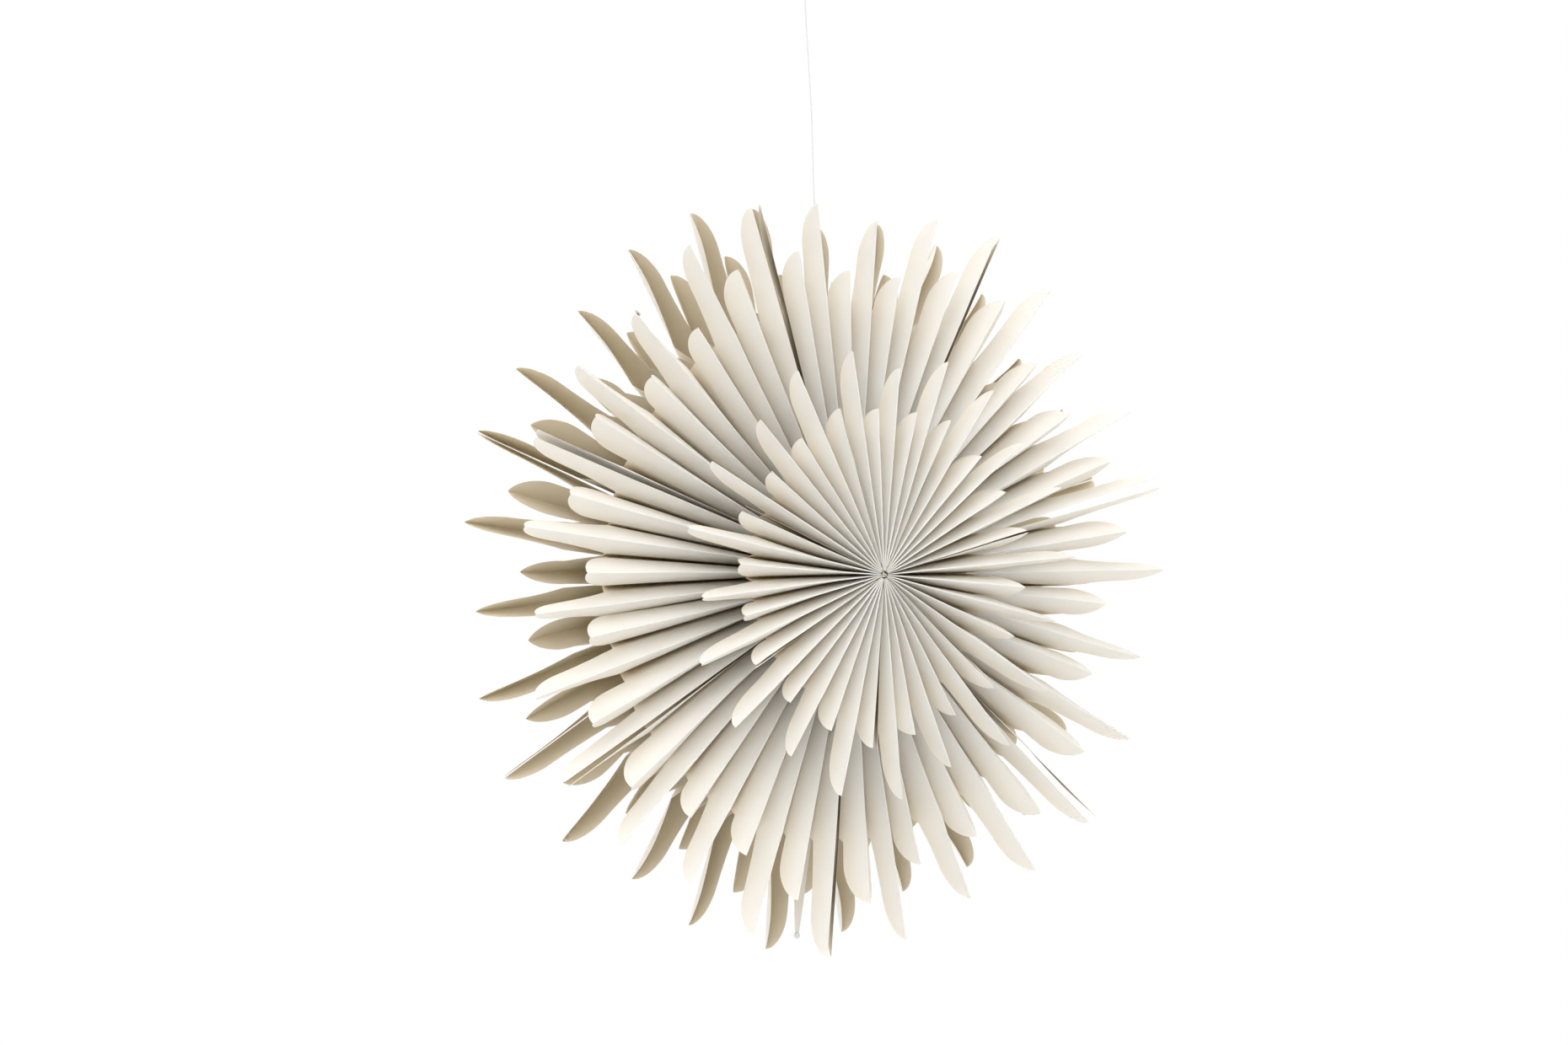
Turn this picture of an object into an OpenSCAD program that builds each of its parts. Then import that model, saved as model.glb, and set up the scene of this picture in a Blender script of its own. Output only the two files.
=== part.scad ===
// Hanging paper star: four rosettes of pleated paper on one axis, a centre cord and a hanging thread.
// The front of the star is -Y and up is +Z. The origin is the top of the loop, where a hook holds it.

/* [Star] */
// Height from the middle of the star up to the hook
hang_drop = 410; // [380:5:480]
// Thickness of the paper
paper_t = 0.15; // [0.1:0.01:0.2]
// Air between the front half and the back half, where the closing tab lies
middle_gap = 0.3; // [0.3:0.05:0.6]
// Air between a small rosette and the large one behind it
layer_gap = 0.3; // [0.2:0.05:0.6]

/* [Large rosettes] */
// Height of the large ridges above the middle plane
large_ridge_z = 47.5; // [42:0.5:55]
// Length of the leaf halves along a seam, from the axis
large_seam_leaf = 254; // [245:1:262]
// Length of the short leaves next to a seam
large_side_short = 219; // [212:1:226]
// Length of the long leaves next to those
large_side_long = 248; // [240:1:256]
// Length of the short leaves in the middle of a sheet
large_mid_short = 202; // [200:1:210]
// Length of the long leaf in the middle of a sheet
large_mid_long = 237; // [230:1:246]
// Radius where the valley folds of the large sheets end
large_valley_end = 165; // [150:1:170]
// Radius where the leaves of the large sheets part from each other
large_root = 178; // [172:1:182]
// How far the ridge of a long leaf drops from the axis to its tip
large_long_dip = 5; // [0:0.5:8]
// How far the ridge of a short leaf drops
large_short_dip = 1.7; // [0:0.1:4]

/* [Small rosettes] */
// Height of the small ridges above the middle plane
small_ridge_z = 86; // [80:0.5:92]
// Length of the leaf halves along a seam, from the axis
small_seam_leaf = 115; // [110:1:120]
// Length of the long leaves next to a seam
small_side_long = 150; // [142:1:156]
// Length of the short leaves between them
small_short = 110; // [107:1:114]
// Length of the long leaf in the middle of a sheet
small_mid_long = 138; // [130:1:144]
// Radius where the valley folds of the small sheets end
small_valley_end = 84; // [76:1:88]
// Radius where the leaves of the small sheets part from each other
small_root = 90; // [88:1:92]

/* [Leaf] */
// Depth of a leaf's flank at the place where it bends most
bulge_depth = 8; // [6:0.5:10]
// Full depth of a free leaf below its ridge
leaf_depth = 16.5; // [14:0.5:20]
// How far back from the tip the cut edge has come down to the bend
tip_round = 4; // [3:0.5:6]
// How far back from the tip a short leaf has its full depth
short_knee = 24; // [20:0.5:28]
// How far back from the tip a long leaf has its full depth
long_knee = 27; // [22:0.5:32]
// Share of its cell that a short leaf spans at its knee
short_open = 0.82; // [0.6:0.01:0.86]
// Share of its cell that a long leaf spans at its knee
long_open = 0.42; // [0.3:0.01:0.6]
// Depth over which the paper of a tight fold lies flat together
fold_depth = 3; // [1:0.25:4]

/* [Closing tab and discs] */
// Length of the tab from the axis to its tip
tab_tip = 242; // [236:1:246]
// Radius where the tab starts between the rosettes
tab_root = 110; // [90:1:140]
// Width of the tab where it starts
tab_w = 14; // [10:0.5:18]
// Width of the tab at its tip
tab_tip_w = 3; // [2:0.1:5]
// Diameter of the metal discs
disc_d = 4.4; // [3:0.1:5]
// Thickness of the metal discs
disc_t = 0.8; // [0.5:0.1:1]

/* [Cord and thread] */
// Diameter of the centre cord
cord_d = 1.2; // [0.8:0.1:2]
// Diameter of the hanging thread
thread_d = 0.8; // [0.6:0.1:1.2]
// Diameter of the knot that ties the thread inside the top leaf
tie_knot_d = 2.4; // [2:0.1:2.8]
// Diameter of the knot under the loop
loop_knot_d = 2.8; // [2:0.1:4]
// Inner diameter of the loop
loop_d = 13; // [8:0.5:20]

/* [Hidden] */
// Air where one piece seats on another
seat_gap = 0.05;
// Angles of the seams between the sheets, clockwise from the top as seen from the front
seams = [-17, 27, 76, 131, 184, 238, 291];
sheets = len(seams);
// Share of its cell that the sheet before each seam, and the sheet after it, stands back from the seam
gaps_before = [0.06, 0.10, 0.12, 0.20, 0.08, 0.10, 0];
gaps_after = [0.16, 0.14, 0.12, 0.20, 0.08, 0.12, 0.46];
large_leaves = 8;
small_leaves = 6;
full_turn = 360;
narrowest = min([for (k = [0:sheets - 1]) sheet_width(k)]);

// Stations across a flank, from ridge to valley: share of the half cell that it has crossed there
bulge_share = 0.5;
large_knee_share = 0.85;
small_knee_share = 0.8;
// Share of the knee's spread that the bend has at the rounded end of a leaf
tip_bend_share = 0.64;
// Most of a leaf's free length that its curved end may take up
knee_limit = 0.86;
large_valley_depth = large_ridge_z - middle_gap / 2;
small_valley_depth = small_ridge_z - large_ridge_z - layer_gap;
large_depths = [0, bulge_depth, leaf_depth, large_valley_depth];
large_shares = [0, bulge_share, large_knee_share, 1];
small_depths = [0, leaf_depth, small_valley_depth];
small_shares = [0, small_knee_share, 1];

// The folds need a hub just wide enough for the paper of the narrowest sheet
hub_room = 1.06;
large_hub = hub_room * paper_t / tan(narrowest / large_leaves / 2);
small_hub = hub_room * paper_t / tan(narrowest / small_leaves / 2);

// Seam 1 carries the top sheet, whose third leaf holds the thread
top_leaf = 2;
top_leaf_angle = seams[0] + top_leaf * sheet_width(0) / large_leaves;
tab_angle = seams[4];
disc_leaves = [[6, 4], [1, 5]];
cord_knot_d = 2 * (small_hub - seat_gap);
cord_sides = 8;
loop_z = -(loop_d / 2);
loop_knot_z = loop_z - loop_d / 2 - thread_d - seat_gap - loop_knot_d / 2;

// Middle of the star, seen from the hook
star_x = 33.4;
star_y = 38.4;
star_at = [star_x, star_y, -hang_drop];

// Route of the hanging thread from the knot under the loop to the knot in the leaf
thread_route = [
    [0, 0, -17.4], [0.5, 0, -28], [1.1, 0, -39], [1.8, 0, -50], [2.5, 0, -61], [3.3, 0, -72],
    [4.1, 0, -83], [4.8, 0, -94], [5.5, 0, -105], [6, 0, -116], [6.4, 0, -127], [6.7, 0, -138],
    [7, 0, -148], [7.3, 0, -157], [7.8, 0, -165], [8.4, 0, -170.8],
];

paper_cream = [0.93, 0.91, 0.86];
paper_shade = [0.86, 0.83, 0.76];
cord_white = [0.9, 0.9, 0.88];
nickel = [0.7, 0.7, 0.72];

sheet_numbers = [1:sheets];

function sheet_width(k) =
    k == sheets - 1 ? seams[0] + full_turn - seams[k] : seams[k + 1] - seams[k];

// Lengths from seam to seam: the leaves at equal distance from either seam are alike
function large_length(j) =
    [large_seam_leaf, large_side_short, large_side_long, large_mid_short, large_mid_long]
    [min(j, large_leaves - j)];
function small_length(j) =
    [small_seam_leaf, small_side_long, small_short, small_mid_long][min(j, small_leaves - j)];
function is_long(j, small) = small ? j % 2 == 1 : j % 2 == 0;
function leaf_length(j, small) = small ? small_length(j) : large_length(j);
function leaf_knee(j, small) =
    let (free = leaf_length(j, small) - (small ? small_root : large_root))
    min(is_long(j, small) ? long_knee : short_knee, knee_limit * free);
function leaf_open(j, small) = is_long(j, small) ? long_open : short_open;
function leaf_dip(j, small) = small ? 0 : is_long(j, small) ? large_long_dip : large_short_dip;
function leaf_angle(k, j, small) = seams[k] + j * sheet_width(k) / (small ? small_leaves : large_leaves);

// A point of the star: r along the direction at angle a, s beside it, z in front of the middle plane
function place(a, r, s, z) = [r * sin(a) + s * cos(a), -z, r * cos(a) - s * sin(a)];

// Half the width of a cell at radius r
function half_cell(k, r, small) = r * tan(sheet_width(k) / (small ? small_leaves : large_leaves) / 2);

// Radius of a station on row 0 (hub), 1 (root of the leaves) or 2 (cut edge)
function station_r(row, i, j, small) =
    let (last = len(small ? small_depths : large_depths) - 1)
    row == 0 ? (small ? small_hub : large_hub)
    : i == last ? (small ? small_valley_end : large_valley_end)
    : row == 1 ? (small ? small_root : large_root)
    : leaf_length(j, small) - (i == 0 ? 0 : i == last - 1 ? leaf_knee(j, small) : tip_round);

// Share of the half cell that a station has crossed
function station_share(row, i, j, small) =
    let (shares = small ? small_shares : large_shares, last = len(shares) - 1)
    row < 2 || i == 0 ? shares[i]
    : i == last - 1 ? leaf_open(j, small)
    : leaf_open(j, small) * tip_bend_share;

// Inner and outer side of the paper at a station, beside the plane of the ridge
function paper_side(k, row, i, j, gap, layer, small) =
    let (room = half_cell(k, station_r(row, i, j, small), small) - paper_t)
    room * (gap + (1 - gap) * station_share(row, i, j, small)) + (layer == 1 ? paper_t : 0);

// How deep the inside of a fold lies behind its outside, so that the flanks keep their thickness
function fold_rise(run, drop) = min(fold_depth, paper_t * drop / run);

// Point of a sheet: column c counts the stations from seam to seam, layer 0 faces the leaf's inside
function sheet_point(k, row, c, layer, small) =
    let (
        depths = small ? small_depths : large_depths,
        last = len(depths) - 1,
        leaves = small ? small_leaves : large_leaves,
        q = c % (2 * last),
        left = q > last,
        j = floor(c / (2 * last)) + (left ? 1 : 0),
        i = left ? 2 * last - q : q,
        side = left || c == 2 * last * leaves ? -1 : 1,
        at_seam = (j == 0 && side == 1) || (j == leaves && side == -1),
        gap = !at_seam ? 0 : j == 0 ? gaps_after[k] : gaps_before[(k + 1) % sheets],
        r = station_r(row, i, j, small),
        top = small ? small_ridge_z : large_ridge_z,
        folded = (i == 0 && !at_seam) || i == last,
        i_next = i == 0 ? 1 : last - 1,
        run = i == 0
            ? paper_side(k, row, 1, j, gap, 1, small)
            : half_cell(k, r, small) - paper_side(k, min(row, 1), i_next, j, gap, 0, small)
                * r / station_r(min(row, 1), i_next, j, small),
        rise = folded ? fold_rise(run, abs(depths[i_next] - depths[i])) : 0,
        depth = depths[i] + (!folded ? 0 : i == 0 ? (layer == 0 ? rise : 0) : (layer == 1 ? -rise : 0)),
        dip = i == last ? 0 : leaf_dip(j, small) * r / leaf_length(j, small),
        s = i == last ? half_cell(k, r, small)
            : i == 0 && !at_seam ? 0
            : paper_side(k, row, i, j, gap, layer, small)
    )
    place(leaf_angle(k, j, small), r, side * s, top - dip - depth);

// One sheet of paper, folded: rows run from the hub to the cut edge, columns from seam to seam
module pleated_sheet(k, small) {
    last = len(small ? small_depths : large_depths) - 1;
    leaves = small ? small_leaves : large_leaves;
    columns = 2 * last * leaves + 1;
    per_layer = 3 * columns;
    points = [
        for (layer = [0:1]) for (row = [0:2]) for (c = [0:columns - 1])
            sheet_point(k, row, c, layer, small)
    ];
    // On a valley the root is the end of the fold, so row 2 isn't used there
    function is_valley(c) = c % (2 * last) == last;
    function id(layer, row, c) = layer * per_layer + min(row, is_valley(c) ? 1 : 2) * columns + c;
    inner = [
        for (c = [0:columns - 2]) each [
            [id(0, 0, c), id(0, 0, c + 1), id(0, 1, c + 1)],
            [id(0, 0, c), id(0, 1, c + 1), id(0, 1, c)],
        ]
    ];
    inner_leaf = [
        for (c = [0:columns - 2]) if (!is_valley(c) && !is_valley(c + 1)) each [
            [id(0, 1, c), id(0, 1, c + 1), id(0, 2, c + 1)],
            [id(0, 1, c), id(0, 2, c + 1), id(0, 2, c)],
        ]
    ];
    front = concat(inner, inner_leaf);
    back = [for (f = front) [for (n = [2:-1:0]) f[n] + per_layer]];
    // The edge of the sheet as a ring of points: along the hub, up one seam, along the tips, down the other
    edge = concat(
        [for (c = [columns - 1:-1:0]) id(0, 0, c)],
        [id(0, 1, 0)],
        [
            for (c = [0:columns - 1]) each
                is_valley(c) ? [id(0, 1, c)]
                : is_valley(c + 1) ? [id(0, 2, c), id(0, 1, c)]
                : is_valley(c - 1) && c > 0 ? [id(0, 1, c), id(0, 2, c)]
                : [id(0, 2, c)]
        ],
        [id(0, 1, columns - 1)]
    );
    rim = [
        for (n = [0:len(edge) - 1])
            let (a = edge[n], b = edge[(n + 1) % len(edge)]) each [
                [a, b, b + per_layer],
                [a, b + per_layer, a + per_layer],
            ]
    ];
    // Row 2 of a valley has no use, so the points are listed again without the idle ones
    used = [
        for (layer = [0:1]) for (row = [0:2]) for (c = [0:columns - 1])
            if (row < 2 || !is_valley(c)) layer * per_layer + row * columns + c
    ];
    renumber = [for (n = [0:2 * per_layer - 1]) let (at = search(n, used)) len(at) > 0 ? at[0] : -1];
    polyhedron(
        points = [for (n = used) points[n]],
        faces = [for (f = concat(front, back, rim)) [for (n = f) renumber[n]]],
        convexity = 20
    );
}

module large_front(k) {
    color(paper_cream) translate(star_at) pleated_sheet(k, false);
}

module large_back(k) {
    color(paper_shade) translate(star_at) mirror([0, 1, 0]) pleated_sheet(k, false);
}

module small_front(k) {
    color(paper_cream) translate(star_at) pleated_sheet(k, true);
}

module small_back(k) {
    color(paper_shade) translate(star_at) mirror([0, 1, 0]) pleated_sheet(k, true);
}

// The cord fills the hub, and a knot drawn into each end holds the rosettes together
module centre_cord() {
    knot_y = small_ridge_z - fold_depth / 2;
    color(cord_white) translate(star_at) {
        rotate([90, 0, 0]) cylinder(d = cord_d, h = 2 * knot_y, center = true, $fn = 24);
        for (side = [-1, 1]) translate([0, side * knot_y, 0]) sphere(d = cord_knot_d, $fn = 32);
    }
}

// A narrow pointed strip that lies between the front half and the back half at the lowest seam
module closing_tab() {
    free_at = (tab_root + tab_tip) / 2;
    outline = [
        [-tab_w / 2, tab_root], [tab_w / 2, tab_root], [tab_w / 2, free_at],
        [tab_tip_w, tab_tip - 3 * tab_tip_w], [tab_tip_w / 2, tab_tip],
        [-tab_tip_w / 2, tab_tip], [-tab_tip_w, tab_tip - 3 * tab_tip_w], [-tab_w / 2, free_at],
    ];
    color(paper_cream) translate(star_at) rotate([0, tab_angle, 0]) rotate([90, 0, 0])
        linear_extrude(paper_t, center = true) polygon(outline);
}

module tab_disc() {
    color(nickel) translate(star_at) rotate([0, tab_angle, 0])
        translate([0, -(paper_t + disc_t) / 2 - seat_gap, tab_tip])
            rotate([90, 0, 0]) cylinder(d = disc_d, h = disc_t, center = true, $fn = 32);
}

// Depth below the ridge at which the inside of a long leaf's tip is this far from side to side
function clasp_depth(k, j, w) =
    let (
        r = leaf_length(j, false) - tip_round,
        run = paper_side(k, 2, 1, j, 0, 0, false),
        rise = fold_rise(paper_side(k, 2, 1, j, 0, 1, false), bulge_depth)
    )
    rise + w / 2 / run * (bulge_depth - rise);

// A disc held on edge in the fold near the tip of a leaf
module leaf_disc(sheet, leaf) {
    at_r = leaf_length(leaf, false) - tip_round / 2 - disc_d / 4;
    ridge_z = large_ridge_z - leaf_dip(leaf, false) * at_r / leaf_length(leaf, false);
    depth = clasp_depth(sheet, leaf, disc_t) + disc_d / 2 + seat_gap;
    color(nickel) translate(star_at) rotate([0, leaf_angle(sheet, leaf, false), 0])
        translate([0, depth - ridge_z, at_r])
            rotate([0, 90, 0]) cylinder(d = disc_d, h = disc_t, center = true, $fn = 32);
}

module left_leaf_disc() {
    leaf_disc(disc_leaves[0][0], disc_leaves[0][1]);
}

module right_leaf_disc() {
    leaf_disc(disc_leaves[1][0], disc_leaves[1][1]);
}

// The hanging thread as a round tube along its route
module hanging_thread() {
    rings = len(thread_route);
    points = [
        for (n = [0:rings - 1]) for (m = [0:cord_sides - 1])
            thread_route[n] + thread_d / 2 * [
                cos(full_turn * m / cord_sides), sin(full_turn * m / cord_sides), 0,
            ]
    ];
    walls = [
        for (n = [0:rings - 2]) for (m = [0:cord_sides - 1])
            let (next = (m + 1) % cord_sides, a = n * cord_sides, b = a + cord_sides)
            [a + m, a + next, b + next, b + m]
    ];
    color(cord_white) polyhedron(
        points = points,
        faces = concat(
            walls,
            [[for (m = [cord_sides - 1:-1:0]) m]],
            [[for (m = [0:cord_sides - 1]) (rings - 1) * cord_sides + m]]
        )
    );
}

// The thread's lower knot sits in the fold of the top leaf, just behind its tip
module tie_knot() {
    color(cord_white) translate(thread_route[len(thread_route) - 1] - [0, 0, tie_knot_d / 2 + seat_gap])
        sphere(d = tie_knot_d, $fn = 24);
}

module loop_knot() {
    color(cord_white) translate([0, 0, loop_knot_z]) sphere(d = loop_knot_d, $fn = 24);
}

// The loop that a hook or a drawing pin holds: its inner top is the origin
module hanging_loop() {
    color(cord_white) translate([0, 0, loop_z]) rotate([90, 0, 0])
        rotate_extrude($fn = 48) translate([(loop_d + thread_d) / 2, 0]) circle(d = thread_d, $fn = 16);
}

for (k = sheet_numbers) {
    large_front(k - 1);
    large_back(k - 1);
    small_front(k - 1);
    small_back(k - 1);
}
centre_cord();
closing_tab();
tab_disc();
left_leaf_disc();
right_leaf_disc();
tie_knot();
hanging_thread();
loop_knot();
hanging_loop();
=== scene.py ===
"""Dresses the hanging paper star: pleated sheets, cord, thread, discs, studio and camera."""

from __future__ import annotations

import logging
import math
import random
from dataclasses import dataclass
from enum import Enum

import bmesh
import bpy
from mathutils import Matrix, Vector


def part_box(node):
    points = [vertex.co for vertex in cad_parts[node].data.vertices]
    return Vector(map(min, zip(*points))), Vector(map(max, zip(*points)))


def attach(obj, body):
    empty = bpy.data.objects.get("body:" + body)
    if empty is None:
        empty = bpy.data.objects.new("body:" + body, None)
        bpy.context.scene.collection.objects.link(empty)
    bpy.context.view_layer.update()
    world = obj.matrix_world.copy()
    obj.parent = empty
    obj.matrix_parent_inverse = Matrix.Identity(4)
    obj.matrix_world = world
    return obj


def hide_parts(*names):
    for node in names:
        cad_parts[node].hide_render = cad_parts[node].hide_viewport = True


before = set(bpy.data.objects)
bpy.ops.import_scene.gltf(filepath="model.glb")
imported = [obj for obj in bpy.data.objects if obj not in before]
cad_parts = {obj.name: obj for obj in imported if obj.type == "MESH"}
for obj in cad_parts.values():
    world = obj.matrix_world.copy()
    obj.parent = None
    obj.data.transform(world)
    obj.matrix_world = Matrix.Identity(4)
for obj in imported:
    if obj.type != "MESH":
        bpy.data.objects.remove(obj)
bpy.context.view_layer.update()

LOG = logging.getLogger("paper_star")
MM = 0.001
FULL_TURN = 2 * math.pi


def star_centre() -> Vector:
    """Returns the middle of the star, which the centre cord runs through."""
    low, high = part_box("centre_cord")
    return (low + high) / 2


CENTRE = star_centre()


class Half(Enum):
    """Which half of the star a sheet belongs to, with the sign of its distance from the middle plane."""

    FRONT = -1.0
    BACK = 1.0


class Layer(Enum):
    """Which ring of leaves a sheet belongs to."""

    LARGE = "large"
    SMALL = "small"


def place(turn: float, reach: float, beside: float, ahead: float) -> Vector:
    """Finds a point of the star from its place beside the line of a leaf.

    Args:
        turn: angle of the leaf, clockwise from the top as seen from the front, in radians.
        reach: distance from the axis along the leaf.
        beside: distance beside the leaf's line.
        ahead: distance in front of the middle plane.

    Returns:
        The point in the row frame.
    """
    sin, cos = math.sin(turn), math.cos(turn)
    return CENTRE + Vector((reach * sin + beside * cos, -ahead, reach * cos - beside * sin))


@dataclass(frozen=True)
class RosetteForm:
    """The sizes that all sheets of one ring share, in metres."""

    layer: Layer
    leaves: int
    ridge_z: float
    valley_z: float
    hub: float
    valley_end: float
    root: float
    lengths: tuple[float, ...]
    first_long: int
    long_dip: float
    short_dip: float
    knee_share: float

    def length(self, j: int) -> float:
        """Returns the length of leaf j, which is the same from either seam."""
        return self.lengths[min(j, self.leaves - j)]

    def is_long(self, j: int) -> bool:
        """Says whether leaf j is one of the long ones."""
        return j % 2 == self.first_long

    def dip(self, j: int) -> float:
        """Returns how far the ridge of leaf j drops from the axis to its tip."""
        return self.long_dip if self.is_long(j) else self.short_dip


SEAM_ANGLES = (-17.0, 27.0, 76.0, 131.0, 184.0, 238.0, 291.0)
# The share of its cell that the sheet before a seam, and the sheet after it, stands back from the seam
GAPS_BEFORE = (0.10, 0.15, 0.12, 0.12, 0.08, 0.10, 0.0)
GAPS_AFTER = (0.17, 0.18, 0.12, 0.14, 0.08, 0.12, 0.46)
# How wide the seams of the back half stand open, as a share of the front half's
BACK_SEAMS = 0.12
SHEETS = len(SEAM_ANGLES)
# The large sheet with one flank more than the others, which closes the ring behind its neighbour
CLOSING_SHEET = 6


def sheet_width(number: int) -> float:
    """Returns the angle that a sheet covers, in degrees."""
    return (SEAM_ANGLES[(number + 1) % SHEETS] - SEAM_ANGLES[number]) % 360


def bowed(share: float, bend: float) -> float:
    """Returns a share from 0 to 1 that is larger in between by its bend."""
    return (1 + bend) * share - bend * share * share


LARGE = RosetteForm(
    layer=Layer.LARGE,
    leaves=8,
    ridge_z=47.5 * MM,
    valley_z=0.15 * MM,
    hub=3.6 * MM,
    valley_end=165 * MM,
    root=178 * MM,
    lengths=(254 * MM, 219 * MM, 248 * MM, 202 * MM, 237 * MM),
    first_long=0,
    long_dip=5 * MM,
    short_dip=1.7 * MM,
    knee_share=0.85,
)
SMALL = RosetteForm(
    layer=Layer.SMALL,
    leaves=6,
    ridge_z=86 * MM,
    valley_z=47.8 * MM,
    hub=2.7 * MM,
    valley_end=84 * MM,
    root=90 * MM,
    lengths=(115 * MM, 150 * MM, 110 * MM, 138 * MM),
    first_long=1,
    long_dip=0.0,
    short_dip=0.0,
    knee_share=0.8,
)


@dataclass(frozen=True)
class LeafCut:
    """The cut outline and the opening of a free leaf, in metres and shares of its cell."""

    depth: float = 16.5 * MM
    long_knee: float = 27 * MM
    short_knee: float = 24 * MM
    long_open: float = 0.42
    short_open: float = 0.80
    crown: float = 0.24
    corner: float = 0.2
    most_knee: float = 0.86
    fold_radius: float = 0.2 * MM
    fold_reach: float = 1.0 * MM

    def knee(self, long_leaf: bool, free: float) -> float:
        """Returns how far behind the tip the curved cut starts, on a leaf with that free length."""
        return min(self.long_knee if long_leaf else self.short_knee, self.most_knee * free)

    def setback(self, down: float, knee: float) -> float:
        """Returns how far behind the tip the cut edge is, at a share of the leaf's depth."""
        across = bowed(down, self.corner)
        return knee * (1 - math.sqrt(1 - across * across))

    def bulge(self, down: float) -> float:
        """Returns the share of its width that a flank has at a share of its depth."""
        return bowed(down, self.crown)

    def rounded(self, beside: float, down: float) -> float:
        """Returns how far beside its ridge a flank is, widened next to the ridge by the rounded fold."""
        depth = down * self.depth
        return math.sqrt(beside * beside + 2 * self.fold_radius * depth * math.exp(-depth / self.fold_reach))


@dataclass(frozen=True)
class Quirk:
    """How one folded leaf strays from the perfect one."""

    turn: float
    lift: float
    roll: float
    spread: float
    reach: float


@dataclass(frozen=True)
class Unevenness:
    """How much the leaves stray from each other, as the largest value either way."""

    turn: float = math.radians(0.7)
    lift: float = 1.6 * MM
    roll: float = math.radians(5)
    spread: float = 0.16
    reach: float = 1.8 * MM
    seed: int = 20

    def draw(self, dice: random.Random) -> Quirk:
        """Draws one leaf's quirk.

        Args:
            dice: the seeded source of random numbers.

        Returns:
            The quirk.
        """
        turn, lift, roll, spread, reach = (dice.uniform(-1, 1) for _ in range(5))
        return Quirk(
            turn=self.turn * turn,
            lift=self.lift * lift,
            roll=self.roll * roll,
            spread=1 + self.spread * spread,
            reach=-abs(self.reach * reach),
        )


@dataclass(frozen=True)
class PaperStock:
    """The paper that all sheets are folded from."""

    thickness: float = 0.13 * MM
    ripple_height: float = 0.55 * MM
    ripple_size: float = 34 * MM
    crease_angle: float = math.radians(50)


class TreeBuilder:
    """Adds and links nodes in one node tree."""

    def __init__(self, tree: bpy.types.NodeTree) -> None:
        """Keeps the tree that the nodes go into."""
        self.tree = tree

    def add(
        self, kind: str, feeds: dict[str | int, object] | None = None, **settings: object
    ) -> bpy.types.Node:
        """Adds a node.

        Args:
            kind: the node's type name.
            feeds: output sockets or plain values for its inputs, by name or number.
            **settings: properties to set on the node.

        Returns:
            The new node.
        """
        node = self.tree.nodes.new(kind)
        for name, value in settings.items():
            setattr(node, name, value)
        for name, value in (feeds or {}).items():
            self.feed(value, node.inputs[name])
        return node

    def feed(self, value: object, socket: bpy.types.NodeSocket) -> None:
        """Links an output socket, or writes a plain value, into an input.

        Args:
            value: an output socket, or a plain value; a colour has three numbers.
            socket: the input.
        """
        if isinstance(value, bpy.types.NodeSocket):
            self.tree.links.new(value, socket)
        else:
            socket.default_value = (*value, 1) if socket.type == "RGBA" else value

    def math(self, operation: str, first: object, second: object = 0.0) -> bpy.types.NodeSocket:
        """Adds a math node and returns its output."""
        return self.add("ShaderNodeMath", {0: first, 1: second}, operation=operation).outputs[0]

    def vector(self, operation: str, feeds: dict[str | int, object]) -> bpy.types.NodeSocket:
        """Adds a vector math node and returns its vector output."""
        return self.add("ShaderNodeVectorMath", feeds, operation=operation).outputs[0]

    def blend(self, share: object, first: object, second: object) -> bpy.types.NodeSocket:
        """Adds a node that blends two colours and returns its output."""
        node = self.add("ShaderNodeMix", {"Factor": share}, data_type="RGBA")
        self.feed(first, node.inputs[6])
        self.feed(second, node.inputs[7])
        return node.outputs[2]

    def soft_step(self, value: object, **bounds: float) -> bpy.types.NodeSocket:
        """Adds a smooth step from From_Min to From_Max and returns its output."""
        feeds = {"Value": value} | {name.replace("_", " "): bound for name, bound in bounds.items()}
        return self.add("ShaderNodeMapRange", feeds, interpolation_type="SMOOTHSTEP").outputs[0]


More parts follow.
